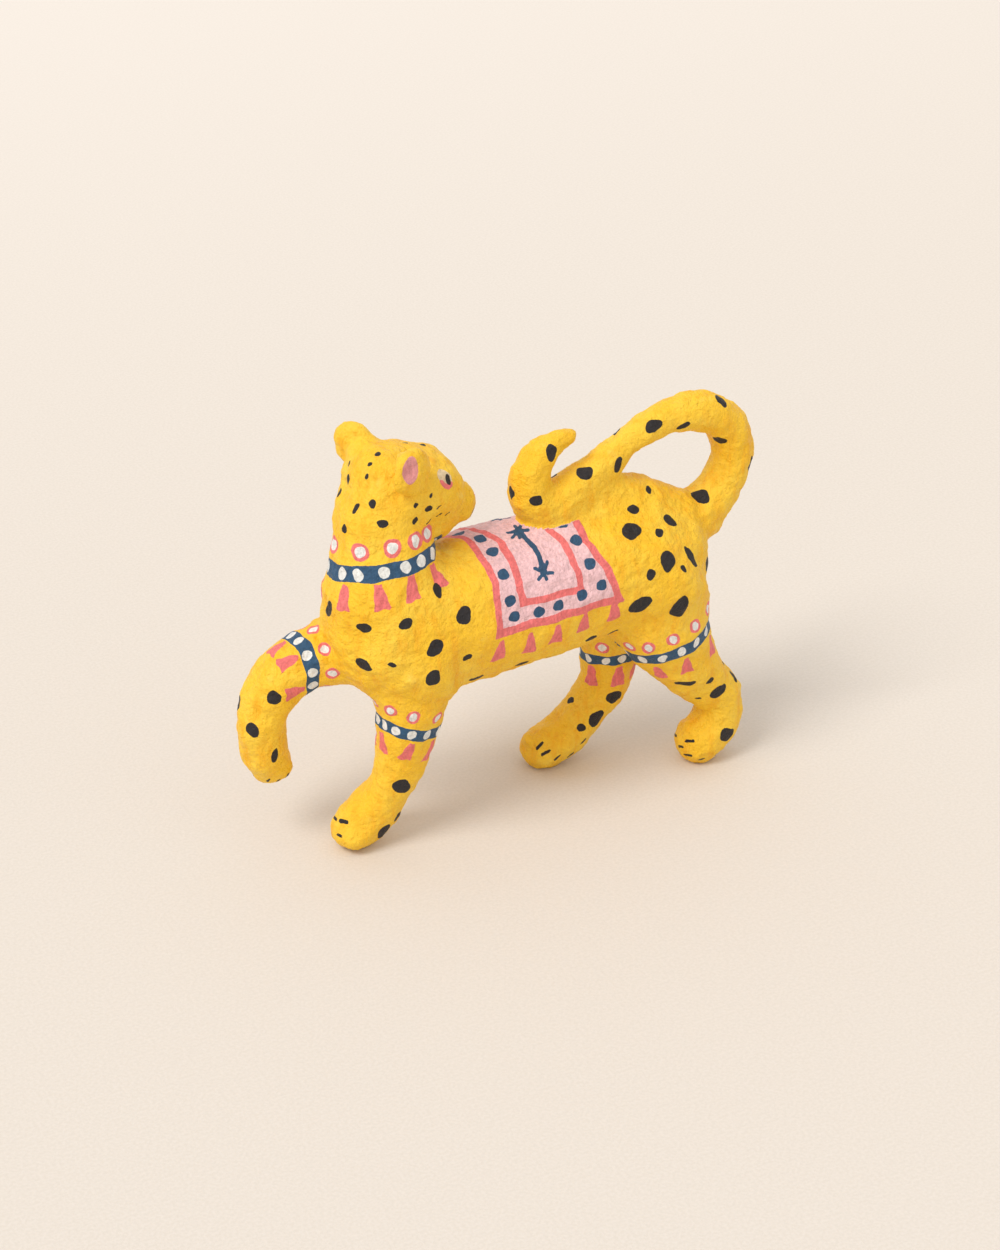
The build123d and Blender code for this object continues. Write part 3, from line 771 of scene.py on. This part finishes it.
# A small helper that lays out one material's nodes. Numbers and colours are set on the sockets.
class Nodes:
    def __init__(self, name):
        self.material = bpy.data.materials.new(name)
        self.material.use_nodes = True
        self.tree = self.material.node_tree
        self.shader = self.tree.nodes["Principled BSDF"]
        self.place = self.add("ShaderNodeTexCoord").outputs["Object"]

    def add(self, kind, settings=None, **sockets):
        node = self.tree.nodes.new(kind)
        for key, value in (settings or {}).items():
            setattr(node, key, value)
        for key, value in sockets.items():
            self.put(node.inputs[key.replace("_", " ")], value)
        return node

    def put(self, socket, value):
        if isinstance(value, bpy.types.NodeSocket):
            self.tree.links.new(value, socket)
        elif isinstance(value, tuple) and len(value) == 3 and socket.type == "RGBA":
            socket.default_value = (*value, 1)
        else:
            socket.default_value = value

    # Noise whose lumps are about 1 / scale metres across, from 0 to 1.
    def noise(self, scale, detail=3.0, rough=0.55, place=None, **more):
        return self.add("ShaderNodeTexNoise", Scale=scale, Detail=detail, Roughness=rough,
                        Vector=place or self.place, **more).outputs["Fac"]

    # value as it goes from low to high becomes the two numbers of to, with soft ends.
    def ramp(self, value, low, high, to=(0.0, 1.0)):
        node = self.add("ShaderNodeMapRange", {"interpolation_type": "SMOOTHSTEP"}, Value=value)
        for socket, number in zip(list(node.inputs)[1:5], (low, high, *to)):
            socket.default_value = number
        return node.outputs["Result"]

    def sum(self, kind, a, b):
        node = self.add("ShaderNodeMath", {"operation": kind})
        self.put(node.inputs[0], a)
        self.put(node.inputs[1], b)
        return node.outputs[0]

    def blend(self, factor, a, b, kind="MIX"):
        node = self.add("ShaderNodeMix", {"data_type": "RGBA", "blend_type": kind, "clamp_factor": True})
        for key, value in (("Factor_Float", factor), ("A_Color", a), ("B_Color", b)):
            self.put(next(i for i in node.inputs if i.identifier == key), value)
        return next(o for o in node.outputs if o.identifier == "Result_Color")

    def stretched(self, scale, turn=(0.0, 0.0, 0.0)):
        return self.add("ShaderNodeMapping", Vector=self.place, Scale=scale,
                        Rotation=tuple(radians(a) for a in turn)).outputs["Vector"]

    def bump(self, height, strength, distance, under=None):
        node = self.add("ShaderNodeBump", Height=height, Strength=strength, Distance=distance)
        if under is not None:
            self.put(node.inputs["Normal"], under)
        return node.outputs["Normal"]

    def attribute(self, name):
        return self.add("ShaderNodeAttribute", {"attribute_name": name}).outputs["Fac"]

    def finish(self, colour, roughness, normal=None, **more):
        self.put(self.shader.inputs["Base Color"], colour)
        self.put(self.shader.inputs["Roughness"], roughness)
        if normal is not None:
            self.put(self.shader.inputs["Normal"], normal)
        for key, value in more.items():
            self.put(self.shader.inputs[key.replace("_", " ")], value)
        return self.material


# A paint given on a screen's scale of 0 to 255, as the linear light that a shader takes.
# Light = ((screen + 0.055) / 1.055) ** 2.4.
def paint(red, green, blue):
    screen = np.array([red, green, blue]) / 255
    return tuple(float(v) for v in ((screen + 0.055) / 1.055) ** 2.4)


# Thin layers of acrylic, from the first coat to the last.
coats = dict(
    pink=paint(251, 205, 208),
    cream=paint(240, 214, 172),
    rose=paint(238, 158, 156),
    coral=paint(248, 124, 122),
    navy=paint(46, 86, 120),
    white=paint(244, 244, 240),
    black=paint(38, 34, 36),
)


# Yellow in three tones by broad and streaky noise. Each coat covers it where the distance to the
# stroke, plus a little wobble, is under nothing, and its edge stands up as a low lip.
def paintedPaper():
    n = Nodes("painted paper")
    broad, streak = n.noise(55.0), n.noise(260.0, 4.0, 0.6, n.stretched((1.0, 1.0, 0.22), (0, 12, 0)))
    yellow = n.blend(n.ramp(broad, 0.35, 0.7), paint(255, 201, 38), paint(255, 209, 60))
    yellow = n.blend(n.ramp(streak, 0.45, 0.75), yellow, paint(252, 185, 24))
    yellow = n.blend(n.ramp(n.noise(120.0, 5.0), 0.6, 0.8, (0.0, 0.6)), yellow, paint(255, 221, 100))
    colour = yellow
    wobble = n.sum("MULTIPLY", n.sum("SUBTRACT", n.noise(700.0, 2.0), 0.5), 0.5)
    streaks = n.ramp(n.noise(900.0, 3.0, 0.6, n.stretched((1.0, 1.0, 0.3))), 0.3, 0.8, (0.82, 1.12))
    tops = None
    for name, tone in coats.items():
        distance = n.sum("ADD", n.attribute(name), wobble)
        mask = n.ramp(distance, 0.07, -0.07)
        own = n.blend(1.0, tone, streaks, "MULTIPLY")
        colour = n.blend(mask, colour, own)
        lip = n.ramp(distance, 0.25, -0.25)
        tops = lip if tops is None else n.sum("MAXIMUM", tops, lip)
    fine = n.bump(n.noise(1500.0, 4.0, 0.65), 0.35, 0.0003)
    wrinkle = n.bump(n.noise(330.0, 5.0, 0.62), 0.9, 0.0024, fine)
    lipped = n.bump(tops, 0.5, 0.0001, wrinkle)
    rough = n.ramp(n.noise(400.0, 3.0), 0.3, 0.7, (0.42, 0.56))
    return n.finish(colour, rough, lipped, Specular_IOR_Level=0.4)


# A pale sheet with a fine grain, a little lighter as y goes from 0.1 to 1.2 metres; that lightening is
# painted light that brightens the far floor.
def floorPaper():
    n = Nodes("floor")
    weave = n.noise(900.0, 4.0)
    tone = n.blend(n.ramp(weave, 0.3, 0.7), paint(216, 208, 198), paint(222, 214, 205))
    far = n.add("ShaderNodeSeparateXYZ", Vector=n.place).outputs["Y"]
    # Painted light: the sheet's colour is lightened towards the back, as if more light fell there.
    tone = n.blend(n.ramp(far, 0.1, 1.2, (0.0, 0.6)), tone, paint(236, 230, 224))
    return n.finish(tone, 0.9, n.bump(weave, 0.25, 0.0004))


# Grey print in short lines on cheap paper, from noise stretched along the columns.
def newspaper():
    n = Nodes("newspaper")
    lines = n.ramp(n.noise(900.0, 1.0, 0.4, n.stretched((0.18, 0.18, 1.4), (20, 35, 0))), 0.46, 0.56)
    sheets = n.noise(45.0, 2.0)
    paper = n.blend(sheets, paint(196, 191, 178), paint(222, 217, 204))
    colour = n.blend(n.sum("MULTIPLY", lines, 0.5), paper, paint(104, 102, 100))
    return n.finish(colour, 0.9, n.bump(n.noise(240.0, 5.0), 0.7, 0.0012))


# Cream crepe paper tape: fine ridges across it, from noise stretched round the limb.
def maskingTape():
    n = Nodes("masking tape")
    ridges = n.noise(1600.0, 2.0, 0.5, n.stretched((0.25, 0.25, 1.0)))
    colour = n.blend(n.noise(70.0), paint(226, 208, 166), paint(238, 224, 190))
    return n.finish(colour, n.ramp(ridges, 0.3, 0.7, (0.55, 0.72)), n.bump(ridges, 0.5, 0.0003))


# Brown card with fibres from noise stretched along one way.
def cardboard():
    n = Nodes("card")
    fibres = n.noise(700.0, 4.0, 0.6, n.stretched((1.0, 1.0, 0.3)))
    colour = n.blend(fibres, paint(176, 148, 112), paint(200, 174, 138))
    return n.finish(colour, 0.85, n.bump(fibres, 0.4, 0.0002))


# Drawn wire: dark to light by stains, and rougher where it is lighter.
def softWire(name, dark, light):
    n = Nodes(name)
    stains = n.noise(300.0, 4.0)
    colour = n.blend(stains, dark, light)
    rough = n.ramp(stains, 0.3, 0.7, (0.28, 0.5))
    return n.finish(colour, rough, n.bump(n.noise(2500.0, 2.0), 0.3, 0.0001), Metallic=1.0)


# Gives each carried-over node, by the last word of its name, its own material.
def dressCore():
    armature = softWire("armature wire", paint(138, 138, 140), paint(176, 176, 178))
    binding = softWire("binding wire", paint(96, 88, 82), paint(134, 124, 116))
    kinds = dict(core=newspaper(), tape=maskingTape(), card=cardboard(), wire=armature, binding=binding)
    for name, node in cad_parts.items():
        last = name.rsplit("_", 1)[-1]
        if last in kinds:
            node.data.materials.clear()
            node.data.materials.append(kinds[last])


# A flat sheet of two rows of corners, in metres, that runs on far behind the figure.
def addFloor():
    side = np.linspace(-6, 6, 3)
    run = np.array([-4.0, 3.0])
    points = np.array([(a, b, 0) for b in run for a in side], float)
    floor = meshObject("floor", points, [gridFaces(2, 3, False)])
    floor.data.materials.append(floorPaper())


# The head's paper and tape follow the head as it is modelled here: the first and last station of
# limbs["head"], how far under the skin (mm), and the reach of the two domes.
headInside = {
    "head_core": dict(name="head_paper", first=0, last=7, under=3.4, domes=(4.0, 1.2), slot="newspaper"),
    "head_tape": dict(name="head_wrap", first=1, last=3, under=3.1, domes=(0.6, 0.6), slot="masking_tape"),
}


# Each of the two stands in for the head's own core or tape node.
def addHeadInside():
    for node, spec in headInside.items():
        piece = insideHead(spec["name"], spec["first"], spec["last"], spec["under"], spec["domes"])
        piece.data.materials.append(newspaper() if spec["slot"] == "newspaper" else maskingTape())
        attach(piece, "root")
        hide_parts(node)


addCamera()
addLights()
addFloor()
print("stage set", flush=True)
skin = buildSkin()
skin.data.materials.append(paintedPaper())
print("skin built:", len(skin.data.vertices), "points", flush=True)
brush = Brush(skin, 11)
paintBands(brush)
paintBlanket(brush)
paintSpots(brush)
paintFace(brush)
brush.store()
print("paint laid", flush=True)
addHeadInside()
dressCore()
print("inner pieces dressed", flush=True)
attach(skin, "root")
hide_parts(*[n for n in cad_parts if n.endswith("_skin")])
